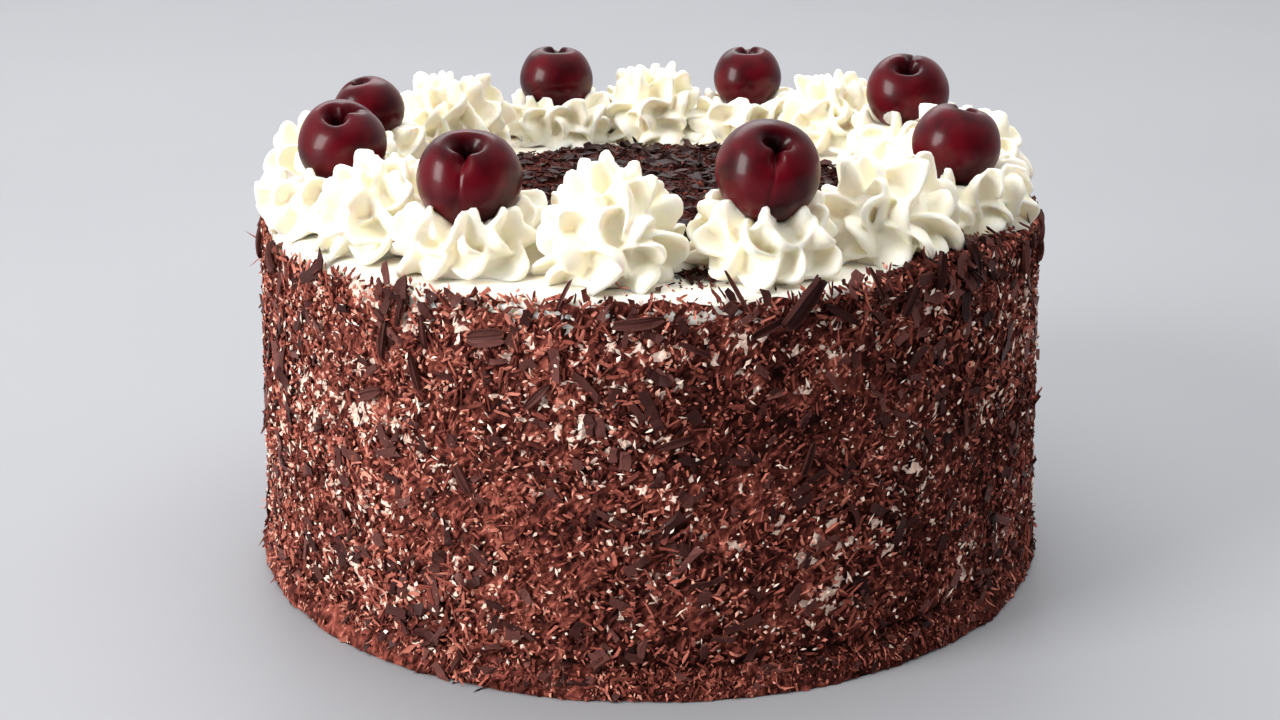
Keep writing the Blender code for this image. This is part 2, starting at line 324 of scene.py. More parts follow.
class Cherry:
    def __init__(self, number):
        low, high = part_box(f"cherry_{number}")
        lean, lean_side, cleft_side = CHERRY_POSES[number - 1]
        self.number = number
        self.middle = np.array((low + high) / 2)
        self.radius = max(high.x - low.x, high.y - low.y) / 2
        axis = Vector((0, 0, 1)) * math.cos(math.radians(lean))
        axis += direction(lean_side) * math.sin(math.radians(lean))
        turn = Euler((0, 0, math.radians(cleft_side - 90))).to_matrix()
        self.rotation = np.array(Vector((0, 0, 1)).rotation_difference(axis).to_matrix() @ turn)

    def skin(self, ways):
        """The distance from the middle to the skin along unit vectors in the cherry's own axes, and how deep
        in the pit each lies, from 0 to 1, which the skin's material paints dark as shade."""
        from_stem = np.arccos(np.clip(ways[..., 2], -1, 1))
        aside = np.arctan2(ways[..., 1], ways[..., 0])
        rng = rng_for(40 + self.number)
        lobes = 1 + rng.uniform(0.0, 0.02) * np.cos(2 * aside + rng.uniform(0, TURN)) * np.sin(from_stem)
        sides = np.sin(aside) ** 2
        pit_width = rng.uniform(0.20, 0.225) * (1 + 0.30 * sides)
        pit = np.exp(-((from_stem / pit_width) ** 3.2))
        shoulder = (0.010 + 0.055 * sides) * np.exp(-(((from_stem - 0.66) / 0.36) ** 2))
        taper = 0.19 * np.exp(-(((math.pi - from_stem) / 1.2) ** 2)) * np.sin(from_stem)
        lip = 0.21 * np.exp(-((np.sin(aside / 2) / 0.14) ** 2)) * np.exp(-(((from_stem - 0.36) / 0.24) ** 2))
        cleft_run = np.clip(np.cos(from_stem * 0.85), 0, 1) * np.sin(from_stem) ** 0.5
        cleft = 0.040 * np.exp(-((np.sin(aside / 2) / 0.030) ** 2)) * cleft_run
        cleft += 0.050 * np.exp(-((np.sin(aside / 2) / 0.17) ** 2)) * cleft_run
        oblate = 1 / np.hypot(np.sin(from_stem), np.cos(from_stem) / CHERRY_HEIGHT_SHARE)
        shape = 1 + shoulder - taper - lip - cleft - 0.55 * pit
        return self.radius * 0.985 * oblate * lobes * shape, pit

    def pushed_clear(self, points, gap):
        """Points moved straight out of the cherry if they lie in it."""
        away = points - self.middle
        far = np.linalg.norm(away, axis=-1, keepdims=True)
        way = away / np.maximum(far, 1e-9)
        needed = self.skin(way @ self.rotation)[0][..., None] + gap
        return np.where(far < needed, self.middle + way * needed, points)


def make_cherry(cherry, material):
    from_stem = np.linspace(0, 1, CHERRY_ROWS + 2)[1:-1]
    from_stem = math.pi * (1 - from_stem)
    aside = np.linspace(0, TURN, CHERRY_COLUMNS, endpoint=False)
    aside = aside - 0.62 * np.sin(aside)
    down, across = np.meshgrid(from_stem, aside, indexing="ij")
    ways = np.stack([np.sin(down) * np.cos(across), np.sin(down) * np.sin(across), np.cos(down)], -1)
    ways = np.concatenate([ways.reshape(-1, 3), [[0, 0, -1.0], [0, 0, 1.0]]])
    far, pit = cherry.skin(ways)
    points = cherry.middle + (ways * far[:, None]) @ cherry.rotation.T
    faces = capped_faces(CHERRY_ROWS, CHERRY_COLUMNS)
    name = f"cherry_{cherry.number}_skin"
    piece = new_piece(name, points, faces, material, attributes={"pit": pit})
    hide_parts(f"cherry_{cherry.number}")


# ======== piped swirls
SWIRL_VOXEL = 0.54 * MM
SWIRL_TRIANGLES = 11500
CORE_COLUMNS = 40
# Cream that reaches past the top's edge hangs over it: where it starts, over what run, and how far it drops
RIM_BEND, RIM_RUN, RIM_SAG = 98.0 * MM, 8 * MM, 3.0 * MM
# How far out a swirl may stand at its foot, and how much farther a little way up
FOOT_LIMIT, BULGE = 103.0 * MM, 4.0 * MM
LOBE_COLUMNS = 24

# Each tier of lobes, from the foot: its share of a full tier's lobes, how far out and how high a lobe's middle
# is (shares of reach and height), its half length and half width (mm), how far it points up and how far it is
# rolled out of the level (degrees), how deep it is cupped (mm), and how much its tip narrows
FREE_TIERS = (
    (1.0, 0.70, 0.13, 6.8, 5.6, -8, 38, 2.6, 0.0),
    (1.0, 0.68, 0.34, 6.8, 5.6, 6, -44, 2.8, 0.0),
    (0.9, 0.60, 0.52, 6.8, 5.2, 28, 50, 2.6, 0.05),
    (0.8, 0.47, 0.68, 6.8, 4.6, 60, -68, 2.2, 0.3),
    (0.6, 0.27, 0.79, 6.8, 3.8, 80, 84, 1.4, 0.45),
)
CHERRY_TIERS = (
    (1.0, 0.70, 0.15, 6.8, 5.6, -8, 38, 2.6, 0.0),
    (1.0, 0.68, 0.42, 6.6, 5.4, 12, -44, 2.8, 0.0),
    (0.9, 0.67, 0.64, 6.0, 5.0, 40, 55, 2.2, 0.2),
    (0.8, 0.67, 0.80, 5.0, 4.2, 66, -60, 1.4, 0.45),
)
# Radius and height of the cream inside the lobes
FREE_CORE = np.array(((0.78, 0.0), (0.74, 0.14), (0.64, 0.32), (0.58, 0.50), (0.42, 0.66), (0.16, 0.72)))
CHERRY_CORE = np.array(((0.78, 0.0), (0.76, 0.20), (0.66, 0.42), (0.64, 0.60), (0.50, 0.70), (0.20, 0.62)))
# A lobe's section, from its middle to its rim and back: place along it and half thickness (mm)
LOBE_SECTION = (
    (0.0, 1.25), (0.40, 1.05), (0.72, 0.95), (0.90, 0.95), (0.98, 0.6), (1.0, 0.0), (0.98, -0.6), (0.90, -0.95),
    (0.72, -0.95), (0.40, -1.05), (0.0, -1.25),
)


def spline(table, count):
    """Points of a smooth curve through a table's rows (Catmull-Rom), evenly spread along its first columns."""
    padded = np.vstack([2 * table[0] - table[1], table, 2 * table[-1] - table[-2]])
    t = np.linspace(0, 1, 12, endpoint=False)[:, None]
    fine = []
    for a, b, c, d in zip(padded, padded[1:], padded[2:], padded[3:]):
        square, cube = 2 * a - 5 * b + 4 * c - d, 3 * b - a - 3 * c + d
        fine.append(0.5 * (2 * b + (c - a) * t + square * t**2 + cube * t**3))
    fine = np.vstack([*fine, table[-1:]])
    run = np.concatenate([[0], np.cumsum(np.linalg.norm(np.diff(fine[:, :3], axis=0), axis=1))])
    wanted = np.linspace(0, run[-1], count)
    return np.stack([np.interp(wanted, run, column) for column in fine.T], 1)


def unit(vectors):
    return vectors / np.maximum(np.linalg.norm(vectors, axis=-1, keepdims=True), 1e-12)


def tube_faces(rows, columns):
    """A closed tube's faces, its first and last rings filled by one many-sided face each."""
    ring = np.arange(columns)
    return [grid_faces(rows, columns), ring[None, ::-1], (ring + (rows - 1) * columns)[None]]


def lobe(middle, onward, sideways, length, width, cup, narrow, stout):
    """A cupped, rounded tongue of cream round its middle point."""
    turns = np.linspace(0, TURN, LOBE_COLUMNS, endpoint=False)
    rows = []
    for share, half in LOBE_SECTION:
        x, y = share * np.cos(turns), share * np.sin(turns)
        y = y * (1 - narrow * np.clip(x, 0, 1)) * (1 + 0.12 * np.cos(turns * 3))
        bend = cup * (1.6 * y**2 + 0.5 * x**2)
        level = np.stack([length * x, width * y, half * stout + bend], -1)
        rows.append(level)
    axes = np.stack([onward, sideways, np.cross(onward, sideways)])
    points = middle + np.stack(rows) @ axes * MM
    rows, columns = points.shape[:2]
    last = rows * columns
    faces = [grid_faces(rows, columns)[:, ::-1]]
    fans = (fan_faces(0, columns, last, True), fan_faces(last - columns, columns, last + 1, False))
    ends = points[[0, -1]].mean(1)
    return np.concatenate([points.reshape(-1, 3), ends]), faces + [np.concatenate(fans)]


def fused(parts, voxel, triangles):
    """One skin round overlapping closed shapes, as cream runs together, with about this many triangles."""
    points, faces, start = [], [], 0
    for part_points, part_faces in parts:
        flat = part_points.reshape(-1, 3)
        points.append(flat)
        faces += [face for group in part_faces for face in (group + start).tolist()]
        start += len(flat)
    mesh = bpy.data.meshes.new("fusing")
    mesh.from_pydata(np.concatenate(points).tolist(), [], faces)
    shape = bpy.data.objects.new("fusing", mesh)
    bpy.context.scene.collection.objects.link(shape)
    remesh = shape.modifiers.new("remesh", "REMESH")
    remesh.mode, remesh.voxel_size = "VOXEL", voxel
    smooth = shape.modifiers.new("smooth", "SMOOTH")
    smooth.factor, smooth.iterations = 0.5, 2
    bpy.context.view_layer.update()
    found = len(shape.evaluated_get(bpy.context.evaluated_depsgraph_get()).data.polygons)
    thin = shape.modifiers.new("thin", "DECIMATE")
    thin.ratio = min(1.0, triangles / (2 * found))
    result = shape.evaluated_get(bpy.context.evaluated_depsgraph_get()).to_mesh()
    result.calc_loop_triangles()
    new_points = np.empty(len(result.vertices) * 3, np.float32)
    result.vertices.foreach_get("co", new_points)
    new_faces = np.empty(len(result.loop_triangles) * 3, np.int32)
    result.loop_triangles.foreach_get("vertices", new_faces)
    bpy.data.objects.remove(shape)
    bpy.data.meshes.remove(mesh)
    return new_points.reshape(-1, 3).astype(float), new_faces.reshape(-1, 3)


def hollowness(points, faces, reach):
    """How closed in each point is, from 0 to 1: the share of the ways out that meet the shape itself; the cream's
    material paints it as shade.
    """
    tree = BVHTree.FromPolygons(points.tolist(), faces.tolist())
    corners = points[faces]
    facing = np.cross(corners[:, 1] - corners[:, 0], corners[:, 2] - corners[:, 0])
    normals = np.zeros_like(points)
    for corner in range(3):
        np.add.at(normals, faces[:, corner], facing)
    normals = unit(normals)
    turn = np.arange(7) / 7 * TURN
    fan = [(0, 0, 1.0)] + [(math.cos(a) * 0.9, math.sin(a) * 0.9, 0.62) for a in turn]
    side = unit(np.cross(normals, (0.31, 0.52, 0.79)))
    other = np.cross(normals, side)
    shut = np.zeros(len(points))
    for x, y, z in fan:
        ways = side * x + other * y + normals * z
        starts = points + normals * 0.15 * MM
        hits = [tree.ray_cast(Vector(a), Vector(w), reach)[3] for a, w in zip(starts.tolist(), ways.tolist())]
        shut += np.array([0.0 if hit is None else 1 - hit / reach for hit in hits])
    return np.clip(shut / len(fan) * 2.0, 0, 1)


def make_swirl(name, node, style, seed, material, cherry=None):
    """A piped rosette: a core ringed by tiers of cupped lobes of cream, fused into one soft shape."""
    angle, distance, reach, width, blades, loop = style
    low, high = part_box(node)
    rng = rng_for(seed)
    outward, base = np.array(direction(angle)), TOP_Z - 0.5 * MM
    along = np.array((-outward[1], outward[0], 0))
    foot = outward * distance * MM + (0, 0, base)
    height = high.z - base
    stretch = np.stack([along * width * MM, outward * reach * MM, (0, 0, height)])
    hand = rng.choice((-1, 1))
    tiers, core = (FREE_TIERS, FREE_CORE) if cherry is None else (CHERRY_TIERS, CHERRY_CORE)
    start = rng.uniform(0, TURN)
    parts = []
    for order, (share, out, up, long, wide, rise, roll, cup, narrow) in enumerate(tiers):
        count = max(4, round(blades * share))
        for number in range(count):
            turn = start + (number + 0.5 * order + rng.uniform(-0.22, 0.22)) / count * TURN
            radial = unit(np.array((math.cos(turn), math.sin(turn), 0)) @ stretch * (1, 1, 0))
            sideways = np.cross((0, 0, 1.0), radial) * hand
            away = out * rng.uniform(0.90, 1.08)
            level = up * rng.uniform(0.85, 1.12)
            middle = np.array((away * math.cos(turn), away * math.sin(turn), level)) @ stretch
            rise_by = math.radians(rise + rng.uniform(-12, 12))
            onward = radial * math.cos(rise_by) + np.array((0, 0, 1.0)) * math.sin(rise_by)
            flat = np.cross(onward, sideways)
            roll_by = math.radians(roll * loop + rng.uniform(-16, 16))
            tilted = sideways * math.cos(roll_by) + flat * math.sin(roll_by)
            size = rng.uniform(0.86, 1.16) * (reach + width) / 34
            tall = size if order < len(tiers) - 1 else rng.uniform(0.8, 1.08)  # the top tier's length varies more
            stout = rng.uniform(0.85, 1.1)
            cupped = cup * rng.uniform(0.7, 1.3)
            parts.append(lobe(middle, onward, tilted, long * tall, wide * size, cupped, narrow, stout))
    turns = np.linspace(0, TURN, CORE_COLUMNS, endpoint=False)
    ring = np.stack([np.cos(turns), np.sin(turns)], -1)
    core_rows = spline(np.column_stack([core, np.zeros(len(core))]), 14)
    ones = np.ones((CORE_COLUMNS, 1))
    core_points = [np.hstack([ring * radius, ones * up]) @ stretch for radius, up, _ in core_rows]
    parts.append((np.stack(core_points), tube_faces(len(core_rows), CORE_COLUMNS)))
    points, faces = fused(parts, SWIRL_VOXEL, SWIRL_TRIANGLES)
    lean = rng.uniform(-0.06, 0.06, 2) * height
    points[:, :2] += lean * np.clip(points[:, 2:] / height, 0, 1) ** 2
    points += foot
    points += np.stack([noise(points + 10 * k, 5 * MM, seed + k) for k in range(3)], -1) * 0.35 * MM
    points += np.stack([noise(points + 20 * k, 1.4 * MM, seed + k) for k in range(3)], -1) * 0.10 * MM
    far = np.linalg.norm(points[:, :2], axis=1)
    limit = FOOT_LIMIT + BULGE * np.clip((points[:, 2] - TOP_Z) / (7 * MM), 0, 1)
    drawn_in = np.where(far > limit, limit + (far - limit) * 0.25, far)
    points[:, :2] *= (drawn_in / far)[:, None]
    over = np.clip((drawn_in - RIM_BEND) / RIM_RUN, 0, 1) ** 1.4 * RIM_SAG
    points[:, 2] = np.clip(points[:, 2], base, high.z) - over
    if cherry is not None:
        points = cherry.pushed_clear(points, 0.05 * MM)
    # Painted shade: how closed in each point is, which the cream's material paints as a lighter, yellower tint in
    # the hollows
    hollow_shade = hollowness(points, faces, 11 * MM)
    piece = new_piece(name, points, [faces], material, attributes={"hollow_shade": hollow_shade})
    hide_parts(node)


# angle round the cake, distance of the middle from the cake's, reach outwards, half width along the ring (mm),
# number of lobes in a full tier, how strongly the lobes roll sideways
SWIRLS = {
    "swirl_1": (-49.7, 85.5, 19.5, 17.0, 10, 1.0),
    "swirl_2": (-6.5, 82.0, 16.5, 17.5, 10, 1.1),
    "swirl_3": (43.0, 84.0, 18.5, 18.5, 9, 1.3),
    "swirl_4": (92.5, 87.0, 18.5, 17.5, 9, 1.2),
    "swirl_5": (138.0, 84.5, 18.0, 17.0, 10, 1.0),
    "swirl_6": (179.5, 82.5, 17.0, 17.0, 10, 1.0),
    "swirl_7": (226.4, 84.0, 18.0, 17.5, 10, 1.0),
    "swirl_8": (271.7, 88.5, 19.5, 17.0, 9, 1.2),
    "cherry_swirl_1": (-69.2, 88.0, 19.5, 16.5, 10, 1.0),
    "cherry_swirl_2": (-30.1, 84.5, 18.5, 17.0, 10, 1.0),
    "cherry_swirl_3": (18.7, 83.0, 17.5, 17.5, 10, 0.9),
    "cherry_swirl_4": (68.0, 87.0, 18.5, 17.5, 9, 1.2),
    "cherry_swirl_5": (116.9, 85.5, 18.5, 17.0, 10, 1.0),
    "cherry_swirl_6": (158.8, 82.5, 17.5, 16.5, 10, 1.0),
    "cherry_swirl_7": (200.3, 82.5, 17.5, 17.0, 10, 1.0),
    "cherry_swirl_8": (252.5, 85.5, 18.5, 16.5, 10, 1.0),
}


# ======== cream under the swirls
def polar(angles):
    return np.sin(angles), -np.cos(angles)


def ring_points(radii, heights, angles):
    """Points of rings round the cake's axis: radii and heights are arrays of rows by angles."""
    x, y = polar(angles)
    return np.stack([radii * x, radii * y, np.broadcast_to(heights, radii.shape)], -1)


CREAM_CORNER = 4.2 * MM


def make_cream_top(material):
    """The cream's top and its rounded rim, uneven from the spatula, running down behind the coat."""
    columns = 300
    angles = np.linspace(0, TURN, columns, endpoint=False)
    bend = np.linspace(0, math.pi / 2, 9)
    down = np.linspace(0, 1, 7)[1:]
    radii = np.concatenate([
        CREAM_RADIUS - 0.6 * MM + 0 * down[::-1],
        CREAM_RADIUS - CREAM_CORNER + CREAM_CORNER * np.cos(bend),
        np.linspace(CREAM_RADIUS - CREAM_CORNER, BED_RADIUS - 6 * MM, 34)[1:],
    ])
    heights = np.concatenate([
        TOP_Z - CREAM_CORNER - 11 * MM * down[::-1],
        TOP_Z - CREAM_CORNER + CREAM_CORNER * np.sin(bend),
        np.full(33, TOP_Z),
    ])
    radii = np.repeat(radii[:, None], columns, 1)
    points = ring_points(radii, heights[:, None], angles)
    way = unit(points * (1, 1, 0))
    wave = noise(points, 14 * MM, 5) * 0.7 + noise(points, 6 * MM, 6) * 0.6
    margin = np.clip((radii - BED_RADIUS) / (40 * MM), 0, 1)
    points += way * (wave * margin)[..., None] * MM
    lumps = noise(points, 10 * MM, 7) * 0.9 * margin + noise(points, 3.2 * MM, 8) * 0.25 - 0.5
    points[..., 2] += lumps * MM
    faces = capped_faces(len(points), columns)
    points = np.concatenate([points.reshape(-1, 3), [[0, 0, heights[0]], [0, 0, TOP_Z - 1 * MM]]])
    hollow_shade = np.zeros(len(points))
    piece = new_piece("cream_top", points, faces, material, attributes={"hollow_shade": hollow_shade})
    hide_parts("cream_layer")


# ======== chocolate coat
# How high the coat climbs, by the angle round the cake from the front
COAT_EDGE = np.array((
    (-180, 95.0), (-130, 94.0), (-100, 95.0), (-78, 94.0), (-64, 91.8), (-45, 94.2), (-20, 95.4), (0, 96.4),
    (24, 95.2), (33, 96.6), (46, 97.6), (60, 97.0), (75, 96.0), (110, 94.5), (150, 95.6), (180, 95.0),
))
# Where the wall meets the fallen shavings, and the ring under them from which their ridge rises
CREASE_Z = 7.9 * MM
FOOT_INNER = WALL_FOOT_RADIUS - 2.5 * MM
CORE_COLUMNS_ROUND = 640
CORE_ROWS_UP = 88


def coat_edge(angles):
    turned = (np.degrees(angles) + 180) % 360 - 180
    return np.interp(turned, COAT_EDGE[:, 0], COAT_EDGE[:, 1]) * MM


def wall_radius(heights):
    """The wall leans out a little towards its foot."""
    return WALL_FOOT_RADIUS + (WALL_TOP_RADIUS - WALL_FOOT_RADIUS) * np.clip(heights / COAT_Z, 0, 1)


def bareness(points):
    """Where the shavings are thin and cream shows, from 0 to 1: small gaps, gathered in bands and clusters."""
    stretched = points * (1, 1, 1.5)
    gaps = 0.5 * noise(stretched, 3.0 * MM, 31) + 0.5 * noise(stretched, 1.4 * MM, 33)
    cluster = noise(points * (1, 1, 2.2), 22 * MM, 32)
    # Painted light: more cream shows towards the left, to lighten the side that the window lights
    painted_light_left = np.clip(-points[..., 0] / WALL_TOP_RADIUS, 0, 0.7)
    low = np.clip((16 * MM - points[..., 2]) / (8 * MM), 0, 1)
    return np.clip(0.40 + 0.75 * gaps + 0.26 * cluster + 0.12 * painted_light_left - 0.25 * low, 0, 1)


def heaped(points):
    """How much taller the fallen shavings lie here than at the front, where they are lowest."""
    far = np.maximum(np.linalg.norm(points[..., :2], axis=-1), 1e-6)
    return 1 + 0.5 * (points[..., 0] / far) ** 2


def crease(points):
    """The crease between the wall and the shavings fallen at its foot, from 0 to 1, where the coat sinks in and
    its tone is painted darker as shade.
    """
    return np.exp(-(((points[..., 2] - CREASE_Z * heaped(points)) / (1.3 * MM)) ** 2))


def patch_tone_and_side_light(points):
    """How light the shavings are here: fine light crumbs gather in patches, and painted light makes the whole
    lighter towards the left and darker towards the right.
    """
    # Painted light: lighter on the left, where the window lights the cake, and darker on the right
    across = 0.60 * np.clip(-points[..., 0] / WALL_TOP_RADIUS, -0.8, 0.7)
    return 0.55 * noise(points, 13 * MM, 41) + 0.45 * noise(points, 5 * MM, 42) + across


def make_coat_core(material):
    rng = rng_for(11)
    angles = np.linspace(0, TURN, CORE_COLUMNS_ROUND, endpoint=False)
    share = np.linspace(0, 1, CORE_ROWS_UP)[:, None]
    top = coat_edge(angles) + noise(ring_points(np.full(len(angles), 0.1), 0.0, angles), 3 * MM, 12) * 1.2 * MM
    heights = share * top[None, :]
    radii = wall_radius(heights)
    points = ring_points(radii, 0.0, angles)
    points[..., 2] = heights
    way = unit(points * (1, 1, 0))
    relief = 0.5 * noise(points, 6 * MM, 13) + 0.5 * noise(points, 2.2 * MM, 14)
    relief += rng.uniform(-0.35, 0.35, radii.shape)
    relief -= 0.5 + 1.3 * crease(points)
    points += way * relief[..., None] * MM
    inner = np.ones_like(share)
    inner[0] = inner[-1] = 0
    points += rng.uniform(-0.32, 0.32, points.shape) * MM * inner[..., None]
    bare = bareness(points)
    # Painted shade: the tone follows the relief, so sunken spots and the crease at the foot are painted darker
    tone = 0.46 + 0.24 * patch_tone_and_side_light(points) + 0.34 * relief + rng.uniform(-0.30, 0.30, radii.shape)
    tone = np.clip(tone, 0, 1)
    closing = 0.93 * points[[0, -1]]
    closing[..., 2] = points[[0, -1]][..., 2]
    closing[1, :, 2] -= 1.5 * MM
    ordered = np.concatenate([closing[:1], points, closing[1:]])
    flat = np.concatenate([ordered.reshape(-1, 3), [[0, 0, 0], [0, 0, TOP_Z - 12 * MM]]])
    faces = capped_faces(len(ordered), CORE_COLUMNS_ROUND)

    def padded(values):
        return np.concatenate([values[:1].ravel(), values.ravel(), values[-1:].ravel(), [0, 0]])

    cream = np.clip((bare - 0.60) * 3.0, -0.6, 0.6)
    attributes = {"tone": padded(tone), "cream": padded(cream)}
    piece = new_piece("coat_core", flat, faces, material, smooth=False, attributes=attributes)
    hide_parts("cake_body")


def make_foot_core(material):
    """The ridge of fallen shavings round the foot."""
    rng = rng_for(17)
    columns, rows = 560, 14
    angles = np.linspace(0, TURN, columns, endpoint=False)
    around = noise(ring_points(np.full(columns, WALL_FOOT_RADIUS), 0.0, angles), 9 * MM, 18)
    bend = np.linspace(-0.15, math.pi * 0.62, rows)[:, None]
    reach = FOOT_REACH - FOOT_INNER - 0.9 * MM + 0.9 * MM * around[None, :]
    tall = FOOT_Z * 0.82 * (1 + 0.16 * np.roll(around, 40)) * heaped(ring_points(np.ones(columns), 0.0, angles))
    radii = FOOT_INNER + reach * np.cos(bend) * (0.86 + 0.14 * np.abs(np.cos(bend)))
    points = ring_points(radii, 0.0, angles)
    points[..., 2] = np.maximum(tall * np.sin(bend), 0)
    loose = rng.uniform(-0.65, 0.65, points.shape) * MM
    loose[0] = 0
    points += loose
    points[0, :, 2] = 0
    points[..., 2] = np.maximum(points[..., 2], 0)
    tone = np.clip(0.30 + 0.25 * patch_tone_and_side_light(points) + rng.uniform(-0.3, 0.3, points.shape[:-1]), 0, 1)
    flat = np.concatenate([points.reshape(-1, 3), [[0, 0, 0], [0, 0, 2 * MM]]])
    faces = capped_faces(rows, columns)
    tone = np.concatenate([tone.ravel(), [0.3, 0.3]])
    attributes = {"tone": tone, "cream": np.full(len(flat), -0.6)}
    piece = new_piece("foot_core", flat, faces, material, smooth=False, attributes=attributes)
    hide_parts("foot_shavings")


def bed_height(points):
    """How high the bed of shavings stands inside the ring of swirls."""
    far = np.linalg.norm(points[..., :2], axis=-1) / BED_RADIUS
    mound = (BED_Z - TOP_Z) * (1 - 0.75 * np.clip(far, 0, 1) ** 4)
    return TOP_Z - 0.6 * MM + mound * (0.62 + 0.3 * noise(points * (1, 1, 0), 9 * MM, 21))


def make_bed_core(material):
    rng = rng_for(19)
    columns, rows = 230, 62
    angles = np.linspace(0, TURN, columns, endpoint=False)
    radii = np.linspace(BED_RADIUS, 1.5 * MM, rows)[:, None] * np.ones((1, columns))
    points = ring_points(radii, 0.0, angles)
    points += rng.uniform(-0.4, 0.4, points.shape) * MM * (1, 1, 0)
    points[..., 2] = bed_height(points) + rng.uniform(-0.5, 0.3, radii.shape) * MM
    skirt = points[:1] * (1, 1, 0) + (0, 0, TOP_Z - 1.5 * MM)
    points = np.concatenate([skirt, points])
    tone = np.clip(0.12 + 0.10 * patch_tone_and_side_light(points) + rng.uniform(-0.12, 0.12, points.shape[:-1]), 0, 1)
    middle_z = float(bed_height(np.zeros(3)))
    flat = np.concatenate([points.reshape(-1, 3), [[0, 0, TOP_Z - 1.5 * MM], [0, 0, middle_z]]])
    faces = capped_faces(rows + 1, columns)
    attributes = {"tone": np.concatenate([tone.ravel(), [0.3, 0.3]]), "cream": np.full(len(flat), -0.6)}
    piece = new_piece("bed_core", flat, faces, material, smooth=False, attributes=attributes)
    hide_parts("centre_shavings")


# ======== shavings
def rod(rings, blunt):
    """A closed three-sided rod of unit size along X, tapering to a tip at both ends: points, then faces."""
    turns = np.arange(3) / 3 * TURN
    places = np.linspace(-blunt, blunt, rings)
    around = np.stack([0 * turns, np.cos(turns) / 2, np.sin(turns) / 2], -1)
    points = np.concatenate([around + (place, 0, 0) for place in places] + [[[-0.5, 0, 0], [0.5, 0, 0]]])
    last = rings * 3
    side = grid_faces(rings, 3) if rings > 1 else np.empty((0, 4), int)
    ends = np.concatenate([fan_faces(0, 3, last, False), fan_faces(last - 3, 3, last + 1, True)])
    return points, [group for group in (side, ends) if len(group)]


def plate(stations):
    """A closed flat bar of unit size along X, in a few stations so that it can curl."""
    places = np.linspace(-0.5, 0.5, stations)
    square = np.array(((0, -0.5, -0.5), (0, 0.5, -0.5), (0, 0.5, 0.5), (0, -0.5, 0.5)))
    points = np.concatenate([square + (place, 0, 0) for place in places])
    return points, tube_faces(stations, 4)


# Where loose pieces lie: each function gives their places, the way out of the surface and a way along it
def on_wall(count, rng, lift):
    angles = rng.uniform(-math.pi, math.pi, count)
    x, y = polar(angles)
    edge = coat_edge(angles) + rng.normal(0, 1.1, count) * MM
    heights = 1.2 * MM + rng.uniform(0, 1, count) * (edge - 1.2 * MM)
    radii = wall_radius(heights) + rng.uniform(*lift, count) * MM
    spots = np.stack([radii * x, radii * y, heights], -1)
    out = np.stack([x, y, np.zeros(count)], -1)
    return spots, out, np.broadcast_to((0, 0, 1.0), out.shape)


def on_rim(count, rng, lift):
    """Pieces that stand above the coat's edge against the cream, most of them on the right of the front."""
    at_right = rng.uniform(0, 1, count) < 0.30
    angles = np.radians(np.where(at_right, rng.normal(47, 10, count), rng.uniform(-180, 180, count)))
    x, y = polar(angles)
    heights = coat_edge(angles) + rng.normal(0.6, 1.0, count) * MM
    over = np.clip((heights - TOP_Z + 1.5 * MM) / (3 * MM), 0, 1)
    radii = WALL_TOP_RADIUS + rng.uniform(*lift, count) * MM - over * rng.uniform(0, 9, count) * MM
    spots = np.stack([radii * x, radii * y, np.minimum(heights, TOP_Z + 2.2 * MM)], -1)
    out = unit(np.stack([x, y, 0.2 + over], -1))
    return spots, out, unit(np.cross(out, np.stack([y, -x, 0 * x], -1)))


def on_foot(count, rng, lift):
    angles = rng.uniform(-math.pi, math.pi, count)
    x, y = polar(angles)
    bend = rng.uniform(0.05, 1.9, count)
    raised = 1 + rng.uniform(*lift, count) * 0.10
    radii = FOOT_INNER + (FOOT_REACH - FOOT_INNER - 1.0 * MM) * np.cos(bend) * raised
    heights = FOOT_Z * 0.80 * np.sin(bend) * raised * heaped(np.stack([x, y], -1))
    spots = np.stack([radii * x, radii * y, np.maximum(heights, 0.5 * MM)], -1)
    out = unit(np.stack([x * np.cos(bend), y * np.cos(bend), np.sin(bend)], -1))
    return spots, out, unit(np.cross(out, np.stack([y, -x, 0 * x], -1)))


def on_bed(count, rng, lift):
    angles = rng.uniform(-math.pi, math.pi, count)
    x, y = polar(angles)
    radii = (BED_RADIUS + 3 * MM) * np.sqrt(rng.uniform(0, 1, count))
    spots = np.stack([radii * x, radii * y, 0 * radii], -1)
    spots[:, 2] = bed_height(spots) + rng.uniform(*lift, count) * MM
    out = np.broadcast_to((0, 0, 1.0), spots.shape)
    return spots, out, np.stack([-y, x, 0 * x], -1)


def on_gap(count, rng, lift):
    """The few that lie between two swirls at the front, where the bed runs out to the rim."""
    angles = np.radians(rng.normal(5.5, 2.6, count))
    x, y = polar(angles)
    radii = rng.uniform(62, 97, count) * MM
    spots = np.stack([radii * x, radii * y, TOP_Z + rng.uniform(-0.3, 0.6, count) * MM], -1)
    out = np.broadcast_to((0, 0, 1.0), spots.shape)
    return spots, out, np.stack([-y, x, 0 * x], -1)


# Where the coat climbs over the rim: the middle of the stretch and how far it spreads, in degrees
CLIMB_ANGLE, CLIMB_SPREAD = 48, 9.5


